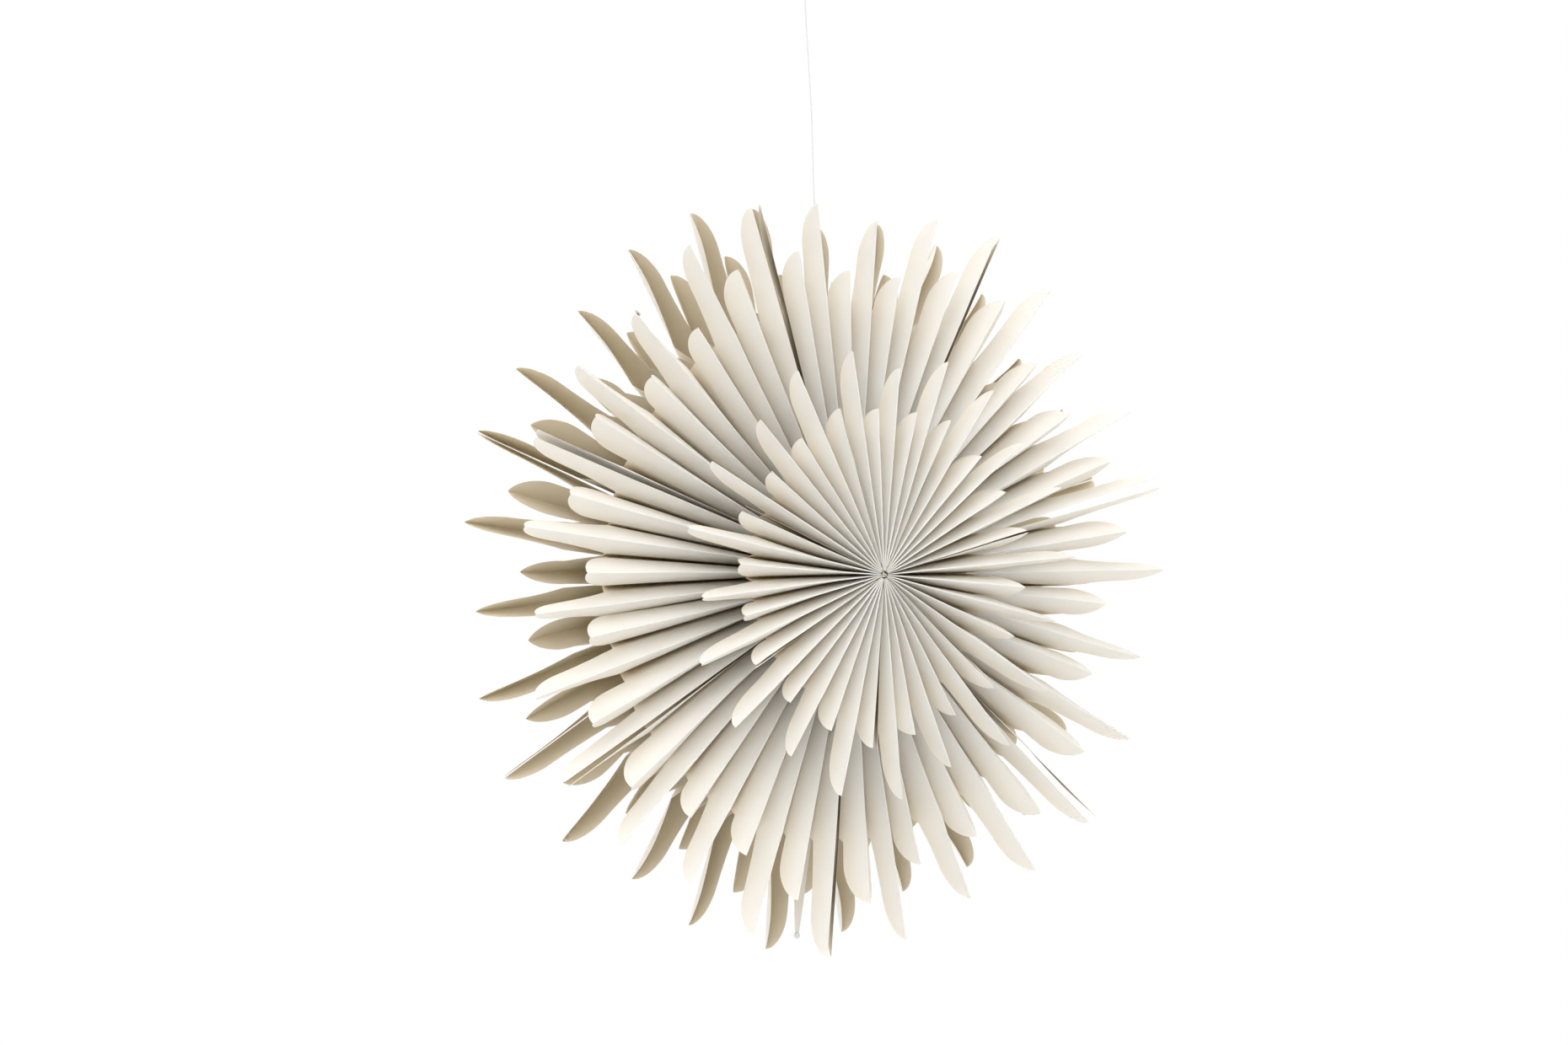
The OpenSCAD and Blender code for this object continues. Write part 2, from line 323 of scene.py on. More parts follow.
class FoldTree(TreeBuilder):
    """Geometry nodes that fold a flat sheet into its place in the star and give it its thickness."""

    INPUTS = (
        ("Star Centre", "NodeSocketVector"),
        ("Paper Thickness", "NodeSocketFloat"),
        ("Ripple Height", "NodeSocketFloat"),
        ("Ripple Size", "NodeSocketFloat"),
        ("Ripple Seed", "NodeSocketFloat"),
        ("Crease Angle", "NodeSocketFloat"),
        ("Paper", "NodeSocketMaterial"),
    )
    # How close together points are welded into one, in metres
    WELD = 5e-7

    def __init__(self) -> None:
        """Builds the tree once: fold, ripple, thickness, sharp folds, material."""
        super().__init__(bpy.data.node_groups.new("fold_a_sheet", "GeometryNodeTree"))
        face = self.tree.interface
        face.new_socket("Flat Sheet", in_out="INPUT", socket_type="NodeSocketGeometry")
        for name, kind in self.INPUTS:
            face.new_socket(name, in_out="INPUT", socket_type=kind)
        face.new_socket("Folded Sheet", in_out="OUTPUT", socket_type="NodeSocketGeometry")
        self.given = self.add("NodeGroupInput").outputs
        shaded = self.crease(self.thicken(self.ripple(self.fold())))
        real = self.add("GeometryNodeRealizeInstances", {"Geometry": shaded}).outputs["Geometry"]
        paint = self.add("GeometryNodeSetMaterial", {"Geometry": real, "Material": self.given["Paper"]})
        self.add("NodeGroupOutput", {"Folded Sheet": paint.outputs["Geometry"]})

    def named(self, name: str) -> bpy.types.NodeSocket:
        """Returns the output of a node that reads one of the flat sheet's numbers."""
        node = self.add("GeometryNodeInputNamedAttribute", {"Name": name}, data_type="FLOAT")
        return node.outputs["Attribute"]

    def fold(self) -> bpy.types.NodeSocket:
        """Turns each point of the flat sheet about the axis, as its fold needs.

        Returns:
            The folded geometry.
        """
        position = self.add("GeometryNodeInputPosition").outputs[0]
        reach = self.add("ShaderNodeSeparateXYZ", {0: position}).outputs["Y"]
        turn, beside, ahead = (self.named(name) for name in ("turn", "beside", "ahead"))
        sin, cos = self.math("SINE", turn), self.math("COSINE", turn)
        point = self.add("ShaderNodeCombineXYZ", {
            "X": self.math("ADD", self.math("MULTIPLY", reach, sin), self.math("MULTIPLY", beside, cos)),
            "Y": self.math("MULTIPLY", ahead, -1.0),
            "Z": self.math("SUBTRACT", self.math("MULTIPLY", reach, cos), self.math("MULTIPLY", beside, sin)),
        })
        moved = self.vector("ADD", {0: point.outputs[0], 1: self.given["Star Centre"]})
        step = self.add("GeometryNodeSetPosition", {"Geometry": self.given["Flat Sheet"], "Position": moved})
        return step.outputs["Geometry"]

    def ripple(self, geometry: bpy.types.NodeSocket) -> bpy.types.NodeSocket:
        """Bends the free leaves softly, as handled paper bends.

        Args:
            geometry: the folded geometry.

        Returns:
            The rippled geometry.
        """
        noise = self.add("ShaderNodeTexNoise", {
            "Scale": self.math("DIVIDE", 1.0, self.given["Ripple Size"]),
            "W": self.given["Ripple Seed"],
            "Detail": 1.0,
        }, noise_dimensions="4D")
        swing = self.math("SUBTRACT", noise.outputs[0], 0.5)
        height = self.math("MULTIPLY", swing, self.given["Ripple Height"])
        height = self.math("MULTIPLY", height, self.named("free"))
        outwards = self.add("GeometryNodeInputNormal").outputs[0]
        offset = self.vector("SCALE", {0: outwards, "Scale": height})
        step = self.add("GeometryNodeSetPosition", {"Geometry": geometry, "Offset": offset})
        return step.outputs["Geometry"]

    def thicken(self, geometry: bpy.types.NodeSocket) -> bpy.types.NodeSocket:
        """Closes the sheet into a thin solid with its faces outwards, and marks the leaves' inside.

        Args:
            geometry: the rippled sheet.

        Returns:
            The closed geometry.
        """
        raised = self.add("GeometryNodeExtrudeMesh", {
            "Mesh": geometry, "Individual": False, "Offset Scale": self.given["Paper Thickness"],
        }, mode="FACES")
        under = self.add("GeometryNodeFlipFaces", {"Mesh": geometry})
        # The inside mark lets the paper paint shade on the inner sides of its leaves and the shadow in the
        # seams' gaps.
        inside = self.add("GeometryNodeStoreNamedAttribute", {
            "Geometry": raised.outputs["Mesh"], "Name": "inside", "Value": 1.0,
        }, data_type="FLOAT", domain="FACE")
        both = self.add("GeometryNodeJoinGeometry")
        for part in (inside.outputs["Geometry"], under.outputs["Mesh"]):
            self.feed(part, both.inputs[0])
        merged = self.add("GeometryNodeMergeByDistance", {"Geometry": both.outputs[0], "Distance": self.WELD})
        return merged.outputs["Geometry"]

    def crease(self, geometry: bpy.types.NodeSocket) -> bpy.types.NodeSocket:
        """Shades the flanks smooth and keeps the folds and the cut edges sharp.

        Args:
            geometry: the closed sheet.

        Returns:
            The shaded geometry.
        """
        smooth = self.add("GeometryNodeSetShadeSmooth", {"Geometry": geometry}, domain="FACE").outputs[0]
        bend = self.add("GeometryNodeInputMeshEdgeAngle").outputs["Unsigned Angle"]
        sharp = self.add("GeometryNodeSetShadeSmooth", {
            "Geometry": smooth,
            "Selection": self.math("GREATER_THAN", bend, self.given["Crease Angle"]),
            "Shade Smooth": False,
        }, domain="EDGE")
        return sharp.outputs[0]

    def apply(self, piece: bpy.types.Object, values: dict[str, object]) -> None:
        """Runs the tree on a piece and leaves it as a plain mesh.

        Args:
            piece: the flat sheet's object.
            values: the tree's inputs by name.
        """
        step = piece.modifiers.new("fold", "NODES")
        step.node_group = self.tree
        for item in self.tree.interface.items_tree:
            if item.item_type == "SOCKET" and item.in_out == "INPUT" and item.name in values:
                step[item.identifier] = values[item.name]
        piece.update_tag()
        shown = piece.evaluated_get(bpy.context.evaluated_depsgraph_get())
        folded, flat = bpy.data.meshes.new_from_object(shown), piece.data
        piece.modifiers.remove(step)
        piece.data = folded
        bpy.data.meshes.remove(flat)


@dataclass(frozen=True)
class GridPoint:
    """One point of a flat sheet and where its fold takes it."""

    across: float
    reach: float
    turn: float
    beside: float
    ahead: float
    free: float
    # Share of the fold's depth, which also sets the painted shade towards the bottom of the folds.
    fold: float
    # How much painted shadow the paper takes in a seam's gap.
    seam: float


@dataclass
class PleatedSheet:
    """One sheet of paper, folded into a sector of a rosette."""

    form: RosetteForm
    half: Half
    number: int
    quirks: tuple[Quirk, ...]
    cut: LeafCut = LeafCut()
    stock: PaperStock = PaperStock()
    closing_flank: bool = False
    closing_start: float = 58 * MM
    closing_close: float = 0.85
    hub_rows: int = 9
    leaf_rows: int = 15
    flank_downs: tuple[float, ...] = (
        0, 0.009, 0.03, 0.07, 0.15, 0.28, 0.42, 0.56, 0.69, 0.80, 0.885, 0.945, 0.985, 1
    )
    deep_downs: tuple[float, ...] = (0.3, 0.65, 1)
    hub_bunching: float = 1.7
    opening_end: float = 0.6
    # How the painted shadow in a seam's gap fades in below the fold's edge, and the share of the leaf's length
    # over which it fades out towards the tip.
    shade_start: float = 0.03
    shade_tip: float = 1 / 6

    @property
    def width(self) -> float:
        """The angle that the sheet covers, in radians."""
        return math.radians(sheet_width(self.number))

    @property
    def node(self) -> str:
        """The name of the CAD node that the sheet stands for."""
        return f"{self.form.layer.value}_{self.half.name.lower()}_{self.number + 1}"

    @property
    def stations(self) -> int:
        """The number of steps across one flank."""
        return len(self.flank_downs) + len(self.deep_downs) - 1

    @property
    def gap_after(self) -> float:
        """How far the first ridge stands back from its seam, as a share of its cell."""
        gap = GAPS_AFTER[self.number]
        return gap if self.half is Half.FRONT or self.number == CLOSING_SHEET else gap * BACK_SEAMS

    @property
    def gap_before(self) -> float:
        """How far the last ridge stands back from its seam, as a share of its cell."""
        gap = GAPS_BEFORE[(self.number + 1) % SHEETS]
        return gap if self.half is Half.FRONT else gap * BACK_SEAMS

    def leaf_turn(self, j: int) -> float:
        """Returns the nominal angle of leaf j, in radians."""
        return math.radians(SEAM_ANGLES[self.number]) + j * self.width / self.form.leaves

    def half_cell(self, reach: float) -> float:
        """Returns half the width of a leaf's cell at a distance from the axis."""
        return reach * math.tan(self.width / self.form.leaves / 2)

    def room(self, reach: float) -> float:
        """Returns how far beside its line a flank may stand at a distance from the axis."""
        return max(self.half_cell(reach) - self.stock.thickness, 0.0)

    def spread_share(self, down: float, deep: float) -> float:
        """Returns the share of its room that a flank takes, from its shares of the leaf and the deep part."""
        return self.form.knee_share * self.cut.bulge(down) + (1 - self.form.knee_share) * deep

    def station(self, step: int) -> tuple[float, float]:
        """Returns a station's share of the leaf's depth, and its share of the deep part below that."""
        deep_step = step - len(self.flank_downs)
        return (self.flank_downs[step], 0.0) if deep_step < 0 else (1.0, self.deep_downs[deep_step])

    def reach_at(self, row: int, down: float, deep: float, j: int, quirk: Quirk, start: float) -> float:
        """Finds how far from the axis a grid point lies.

        Args:
            row: the row, 0 at the hub.
            down: the station's share of the leaf's depth.
            deep: the station's share of the deep part.
            j: the leaf's number.
            quirk: the leaf's quirk.
            start: where the first row lies.

        Returns:
            The distance from the axis.
        """
        form = self.form
        root = form.root + (form.valley_end - form.root) * deep
        if row <= self.hub_rows:
            return start + (root - start) * (row / self.hub_rows) ** self.hub_bunching
        tip = form.length(j) + quirk.reach
        knee = self.cut.knee(form.is_long(j), tip - form.root)
        end = tip - self.cut.setback(down, knee)
        return root + (end - root) * (row - self.hub_rows) / self.leaf_rows

    def beside_at(self, reach: float, down: float, deep: float, j: int, gap: float, quirk: Quirk) -> float:
        """Finds how far beside its ridge a point of a flank lies.

        Args:
            reach: the point's distance from the axis.
            down: its share of the leaf's depth.
            deep: its share of the deep part.
            j: the leaf's number.
            gap: the share of the cell that a seam stands open.
            quirk: the leaf's quirk.

        Returns:
            The distance beside the ridge.
        """
        form, cut = self.form, self.cut
        room, share = self.room(reach), self.spread_share(down, deep)
        if reach > form.root:
            opened = cut.long_open if form.is_long(j) else cut.short_open
            end = form.length(j) - self.opening_end * cut.knee(form.is_long(j), form.length(j) - form.root)
            along = min(1.0, (reach - form.root) / (end - form.root))
            along = along * (2 - along)
            root_spread = form.knee_share * self.half_cell(form.root)
            end_spread = opened * self.half_cell(end)
            spread = root_spread + (end_spread - root_spread) * along
            share = cut.bulge(down) * spread / room
        share = share * (1 + (quirk.spread - 1) * self.looseness(reach, deep))
        beside = room * (gap + (1 - gap) * share)
        if gap == 0:
            beside = cut.rounded(beside, down)
        return min(beside, room)

    def closing_beside(self, reach: float, down: float, deep: float, gap: float) -> float:
        """Returns how far beside the seam a point of the closing flank lies, where the seam has that gap."""
        return self.room(reach) * gap * (1 - self.closing_close * self.spread_share(down, deep))

    def looseness(self, reach: float, deep: float) -> float:
        """Returns how free a point is, from 0 at the hub and in the valleys to 1 on a free leaf."""
        near = min(1.0, reach / self.form.root)
        return near * near * (1 - deep)

    def seam_shade(self, down: float, far: float) -> float:
        """Returns how much painted shadow a seam's flank gets on its hidden side, at shares of its depth and
        its length.
        """
        shade = min(1.0, down / self.shade_start) * math.sqrt(1 - down) * min(1.0, (1 - far) / self.shade_tip)
        return shade if self.half is Half.FRONT else 0.0

    def grid_point(self, column: int, row: int) -> GridPoint:
        """Works out one point of the sheet.

        Args:
            column: the column, counted from seam to seam.
            row: the row, counted from the hub.

        Returns:
            The point.
        """
        form, steps = self.form, self.stations
        spot = column % (2 * steps)
        left = spot > steps
        j = column // (2 * steps) + (1 if left else 0)
        step = 2 * steps - spot if left else spot
        side = -1.0 if left or column == 2 * steps * form.leaves else 1.0
        down, deep = self.station(step)
        quirk = self.quirks[j]
        at_first, at_last = j == 0 and side > 0, j == form.leaves and side < 0
        gap = 0.0
        if at_first:
            gap = self.gap_after
        elif at_last:
            gap = self.gap_before
        closing = column < 0
        start = form.hub + (self.closing_start * min(1.0, down + deep) if closing else 0.0)
        reach = self.reach_at(row, down, deep, j, quirk, start)
        loose = self.looseness(reach, deep)
        if closing:
            beside = -self.closing_beside(reach, down, deep, self.gap_after)
        else:
            beside = self.beside_at(reach, down, deep, j, gap, quirk)
        depth = self.cut.depth * down + (form.ridge_z - form.valley_z - self.cut.depth) * deep
        roll = quirk.roll * loose * min(1.0, reach / form.length(j))
        flat_beside, flat_depth = side * beside, depth
        if not (at_first or at_last or closing):
            flat_beside = side * beside * math.cos(roll) + depth * math.sin(roll) * (1 - deep)
            flat_depth = depth * math.cos(roll) - side * beside * math.sin(roll) * (1 - deep)
        turn = self.leaf_turn(j) + quirk.turn * loose
        far = min(1.0, reach / form.length(j))
        lift = quirk.lift * far * far * (1 - deep) - form.dip(j) * far * (1 - deep)
        ahead = form.ridge_z - flat_depth + lift
        return GridPoint(
            across=2 * j * (form.ridge_z - form.valley_z) + side * depth,
            reach=reach,
            turn=turn,
            beside=flat_beside,
            ahead=-self.half.value * ahead,
            free=loose,
            # The fold share also sets the painted shade in the folds, and seam the painted shadow in a seam's
            # gap.
            fold=depth / (form.ridge_z - form.valley_z),
            seam=self.seam_shade(down, far) if at_first or at_last or closing else 0.0,
        )

    def flat_pattern(self) -> bpy.types.Object:
        """Builds the flat sheet, with the numbers that fold it stored on its points.

        Returns:
            The flat sheet's object.
        """
        steps, form = self.stations, self.form
        leaf_steps = len(self.flank_downs) - 1
        first = -(leaf_steps + 2) if self.closing_flank else 0
        last = 2 * steps * form.leaves
        index: dict[tuple[int, int], int] = {}
        points: list[GridPoint] = []
        for column in range(first, last + 1):
            spot = column % (2 * steps)
            on_leaf = min(spot, 2 * steps - spot) <= leaf_steps
            rows = self.hub_rows + (self.leaf_rows if on_leaf else 0)
            for row in range(rows + 1):
                index[column, row] = len(points)
                points.append(self.grid_point(column, row))
        faces = []
        for column in range(first, last):
            for row in range(self.hub_rows + self.leaf_rows):
                corners = [(column, row), (column, row + 1), (column + 1, row + 1), (column + 1, row)]
                if all(corner in index for corner in corners):
                    ids = [index[corner] for corner in corners]
                    faces.append(ids if self.half is Half.FRONT else ids[::-1])
        mesh = bpy.data.meshes.new(self.node + "_flat")
        mesh.from_pydata([(p.across, p.reach, 0.0) for p in points], [], faces)
        # fold and seam carry the painted shade and the painted shadow to the paper's material.
        for name in ("turn", "beside", "ahead", "free", "fold", "seam"):
            numbers = mesh.attributes.new(name, "FLOAT", "POINT")
            numbers.data.foreach_set("value", [getattr(p, name) for p in points])
        layout = mesh.uv_layers.new(name="flat_sheet")
        for loop in mesh.loops:
            p = points[loop.vertex_index]
            layout.data[loop.index].uv = (p.across + self.number * form.root, p.reach)
        piece = bpy.data.objects.new("paper_" + self.node, mesh)
        bpy.context.scene.collection.objects.link(piece)
        return piece

    def make(self, tree: FoldTree, paper: bpy.types.Material) -> bpy.types.Object:
        """Folds the sheet and puts it in place of its CAD node.

        Args:
            tree: the geometry nodes that fold it.
            paper: its material.

        Returns:
            The finished piece.
        """
        piece = self.flat_pattern()
        tree.apply(piece, {
            "Star Centre": tuple(CENTRE),
            "Paper Thickness": self.stock.thickness,
            "Ripple Height": self.stock.ripple_height,
            "Ripple Size": self.stock.ripple_size,
            "Ripple Seed": float(self.number) + (0.5 if self.half is Half.BACK else 0.0),
            "Crease Angle": self.stock.crease_angle,
            "Paper": paper,
        })
        return settle(piece, "paper", self.node)


def settle(piece: bpy.types.Object, slot: str, *nodes: str) -> bpy.types.Object:
    """Makes a finished piece ride with the star in place of its CAD nodes.

    Args:
        piece: the finished piece.
        slot: not used.
        *nodes: the CAD nodes that it stands for.

    Returns:
        The same piece.
    """
    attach(piece, "root")
    if nodes:
        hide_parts(*nodes)
    LOG.info("%s: %d faces", piece.name, len(piece.data.polygons))
    return piece


def circle(steps: int) -> list[float]:
    """Returns evenly spaced angles round a circle, in radians."""
    return [FULL_TURN * n / steps for n in range(steps)]


def ring_faces(rings: int, sides: int, closed: bool = False) -> list[list[int]]:
    """Joins rings of points into a band of quads.

    Args:
        rings: the number of rings.
        sides: the number of points in each.
        closed: whether the last ring meets the first.

    Returns:
        The faces, as lists of point numbers.
    """
    faces = []
    for n in range(rings if closed else rings - 1):
        for m in range(sides):
            a, b, after = n * sides, (n + 1) % rings * sides, (m + 1) % sides
            faces.append([a + m, a + after, b + after, b + m])
    return faces


def end_faces(rings: int, sides: int) -> list[list[int]]:
    """Returns the two faces that close the ends of a band of rings."""
    return [list(range(sides))[::-1], list(range((rings - 1) * sides, rings * sides))]


def object_from(
    name: str, points: list[Vector], faces: list[list[int]], material: bpy.types.Material, smooth: bool = True
) -> bpy.types.Object:
    """Makes an object from points and faces.

    Args:
        name: the object's name.
        points: its points in the row frame.
        faces: lists of point numbers, turned outwards.
        material: its material.
        smooth: whether its faces are shaded smooth.

    Returns:
        The object, at the origin.
    """
    mesh = bpy.data.meshes.new(name)
    mesh.from_pydata([tuple(p) for p in points], [], faces)
    shell = bmesh.new()
    shell.from_mesh(mesh)
    bmesh.ops.recalc_face_normals(shell, faces=shell.faces)
    shell.to_mesh(mesh)
    shell.free()
    mesh.materials.append(material)
    for polygon in mesh.polygons:
        polygon.use_smooth = smooth
    piece = bpy.data.objects.new(name, mesh)
    bpy.context.scene.collection.objects.link(piece)
    return piece


@dataclass(frozen=True)
class Twist:
    """How a thread or cord is twisted from its plies."""

    diameter: float
    plies: int = 2
    pitch: float = 2.4 * MM
    groove: float = 0.16
    sides: int = 12

    def radius(self, angle: float, run: float) -> float:
        """Returns the radius at an angle round the thread, some way along it."""
        wave = math.cos(self.plies * (angle - FULL_TURN * run / (self.pitch * self.plies)))
        return self.diameter / 2 * (1 - self.groove / 2 + self.groove / 2 * wave)

    def tube(self, path: list[Vector], closed: bool = False) -> tuple[list[Vector], list[list[int]]]:
        """Sweeps the twisted section along a path.

        Args:
            path: the points of the centreline.
            closed: whether the path closes on itself.

        Returns:
            The tube's points and faces.
        """
        count = len(path)
        points: list[Vector] = []
        run = 0.0
        normal = Vector((0, 0, 0))
        for n, spot in enumerate(path):
            ahead = path[(n + 1) % count] if closed or n < count - 1 else spot
            behind = path[n - 1] if closed or n > 0 else spot
            along = (ahead - behind).normalized()
            if n == 0:
                normal = along.orthogonal().normalized()
            else:
                run += (spot - path[n - 1]).length
                normal = (normal - along * normal.dot(along)).normalized()
            side = along.cross(normal)
            for angle in circle(self.sides):
                out = normal * math.cos(angle) + side * math.sin(angle)
                points.append(spot + out * self.radius(angle, run))
        faces = ring_faces(count, self.sides, closed)
        return points, faces if closed else faces + end_faces(count, self.sides)


def spline(route: list[Vector], parts: int) -> list[Vector]:
    """Runs a smooth curve through the points of a route.

    Args:
        route: the points to pass through.
        parts: the number of steps between two points.

    Returns:
        The points of the curve.
    """
    smooth = []
    for n in range(len(route) - 1):
        before, start, end = route[max(n - 1, 0)], route[n], route[n + 1]
        after = route[min(n + 2, len(route) - 1)]
        for part in range(parts):
            t = part / parts
            smooth.append(0.5 * (
                2 * start + (end - before) * t
                + (2 * before - 5 * start + 4 * end - after) * t * t
                + (3 * start - before - 3 * end + after) * t ** 3
            ))
    smooth.append(route[-1])
    return smooth


def tied_knot(middle: Vector, size: float, strand: float, turn: Matrix) -> list[Vector]:
    """Lays out the closed path of a small pulled-tight knot.

    Args:
        middle: the knot's centre.
        size: its whole diameter.
        strand: the diameter of its thread.
        turn: how the knot is turned.

    Returns:
        The points of the path.
    """
    widest, height, steps = 3.0, 1.7, 72
    across = (size - strand) / 2 / widest
    path = []
    for t in circle(steps):
        spot = Vector((
            math.sin(t) + 2 * math.sin(2 * t),
            math.cos(t) - 2 * math.cos(2 * t),
            -height * math.sin(3 * t),
        ))
        path.append(middle + turn @ (spot * across))
    return path


@dataclass
class HangingThread:
    """The thin thread with its knots and the loop for a hook."""

    twist: Twist = Twist(diameter=0.8 * MM)
    loop_steps: int = 96
    parts: int = 12
    tie_turn: float = 0.6
    upper_turn: float = 1.2
    route_mm: tuple[tuple[float, float, float], ...] = (
        (0, 0, -17.4), (0.5, 0, -28), (1.1, 0, -39), (1.8, 0, -50), (2.5, 0, -61), (3.3, 0, -72),
        (4.1, 0, -83), (4.8, 0, -94), (5.5, 0, -105), (6, 0, -116), (6.4, 0, -127), (6.7, 0, -138),
        (7, 0, -148), (7.3, 0, -157), (7.8, 0, -165), (8.4, 0, -170.8),
    )

    def closed(
        self, name: str, node: str, path: list[Vector], material: bpy.types.Material
    ) -> bpy.types.Object:
        """Runs the thread along a closed path, in the place of a CAD node."""
        points, faces = self.twist.tube(path, closed=True)
        return settle(object_from(name, points, faces, material), "thread", node)

    def knot(self, node: str, turn: Matrix, material: bpy.types.Material) -> bpy.types.Object:
        """Ties one knot, turned as its matrix says, in the place of a CAD node."""
        low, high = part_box(node)
        path = tied_knot((low + high) / 2, (high - low).x, self.twist.diameter, turn)
        return self.closed("thread_" + node, node, path, material)

    def loop(self, material: bpy.types.Material) -> bpy.types.Object:
        """Makes the loop of thread."""
        low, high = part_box("hanging_loop")
        middle, radius = (low + high) / 2, (high - low).x / 2 - self.twist.diameter / 2
        path = [middle + Vector((math.sin(a), 0, math.cos(a))) * radius for a in circle(self.loop_steps)]
        return self.closed("thread_loop", "hanging_loop", path, material)

    def make(self, material: bpy.types.Material) -> None:
        """Args:
            material: the thread's material.
        """
        route = [Vector(point) * MM for point in self.route_mm][::-1]
        path = spline(route, self.parts)
        points, faces = self.twist.tube(path)
        thread = settle(object_from("thread_line", points, faces, material), "thread", "hanging_thread")
        tie = self.knot("tie_knot", Matrix.Rotation(self.tie_turn, 3, "X"), material)
        upper = self.knot("loop_knot", Matrix.Rotation(self.upper_turn, 3, "Y"), material)
        loop = self.loop(material)


@dataclass
class CentreCord:
    """The cord through the hub, with a knot drawn into either end."""

    twist: Twist = Twist(diameter=1.2 * MM, plies=3, pitch=3 * MM, groove=0.2)
    knot_size: float = 4.6 * MM
    steps: int = 80

    def make(self, material: bpy.types.Material) -> None:
        """Builds the cord and both knots as one piece.

        Args:
            material: the cord's material.
        """
        low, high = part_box("centre_cord")
        half = (high - low).y / 2 - self.knot_size / 2
        line = [CENTRE + Vector((0, half * (2 * n / self.steps - 1), 0)) for n in range(self.steps + 1)]
        points, faces = self.twist.tube(line)
        for side in (-1, 1):
            middle = CENTRE + Vector((0, side * half, 0))
            turn = Matrix.Rotation(side * math.pi / 2, 3, "X")
            knot_points, knot_faces = self.twist.tube(
                tied_knot(middle, self.knot_size, self.twist.diameter, turn), closed=True
            )
            faces += [[n + len(points) for n in face] for face in knot_faces]
            points += knot_points
        settle(object_from("cord_centre", points, faces, material), "cord", "centre_cord")


@dataclass
class ClosingTab:
    """The narrow paper strip at the lowest seam, between the two halves of the star."""

    seam: int = 4
    tip: float = 242 * MM
    root: float = 110 * MM
    width: float = 14 * MM
    tip_width: float = 2.6 * MM
    taper: float = 66 * MM
    rows: int = 40
    columns: int = 6
    narrowing: float = 0.85
    sag: float = 0.25 * MM
    stock: PaperStock = PaperStock()

    def make(self, paper: bpy.types.Material) -> None:
        """Builds the strip.

        Args:
            paper: its material.
        """
        turn = math.radians(SEAM_ANGLES[self.seam])
        shares = [2 * column / self.columns - 1 for column in range(self.columns + 1)]
        top, bottom = 0.5, -0.5
        ring = [(share, top) for share in shares] + [(share, bottom) for share in reversed(shares)]
        points: list[Vector] = []
        for row in range(self.rows + 1):
            reach = self.root + (self.tip - self.root) * row / self.rows
            near = min(1.0, (self.tip - reach) / self.taper)
            half = (self.tip_width + (self.width - self.tip_width) * near ** self.narrowing) / 2
            for share, layer in ring:
                bow = self.sag * (1 - share * share) * (row / self.rows) ** 2
                points.append(place(turn, reach, half * share, layer * self.stock.thickness + bow))
        faces = ring_faces(self.rows + 1, len(ring)) + end_faces(self.rows + 1, len(ring))
        piece = object_from("paper_closing_tab", points, faces, paper, smooth=False)
        layout = piece.data.uv_layers.new(name="flat_sheet")
        for loop in piece.data.loops:
            spot = piece.data.vertices[loop.vertex_index].co - CENTRE
            layout.data[loop.index].uv = (spot.x, spot.z)
        settle(piece, "paper", "closing_tab")


@dataclass
class MetalDisc:
    """A small round disc with softly rounded edges."""

    node: str
    sides: int = 48
    edge: float = 0.18 * MM
    edge_steps: int = 4

    def make(self, axis: Vector, material: bpy.types.Material) -> None:
        """Turns the disc about its axis, in the place of its CAD node.

        Args:
            axis: the direction of the disc's axis.
            material: its material.
        """
        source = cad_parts[self.node].data.vertices
        middle = sum((v.co for v in source), Vector()) / len(source)
        along = axis.normalized()
        heights = [(v.co - middle).dot(along) for v in source]
        thick = max(heights) - min(heights)
        middle = middle + along * (max(heights) + min(heights)) / 2
        radius = max(((v.co - middle) - along * (v.co - middle).dot(along)).length for v in source)
        rings = []
        for half in (1, -1):
            bends = range(self.edge_steps + 1)
            for n in bends if half > 0 else reversed(bends):
                a = math.pi / 2 * n / self.edge_steps
                rings.append((
                    radius - self.edge * (1 - math.sin(a)),
                    half * (thick / 2 - self.edge * (1 - math.cos(a))),
                ))
        first = along.orthogonal().normalized()
        second = along.cross(first)
        points = [
            middle + along * h + (first * math.cos(a) + second * math.sin(a)) * r
            for r, h in rings for a in circle(self.sides)
        ]
        faces = ring_faces(len(rings), self.sides) + end_faces(len(rings), self.sides)
        settle(object_from("disc_" + self.node, points, faces, material), "metal", self.node)


def new_material(name: str) -> tuple[bpy.types.Material, TreeBuilder, bpy.types.NodeInputs]:
    """Starts a material.

    Args:
        name: its name.

    Returns:
        The material, the builder of its tree, and the inputs of its Principled BSDF.
    """
    material = bpy.data.materials.new(name)
    material.use_nodes = True
    tree = material.node_tree
    return material, TreeBuilder(tree), tree.nodes["Principled BSDF"].inputs


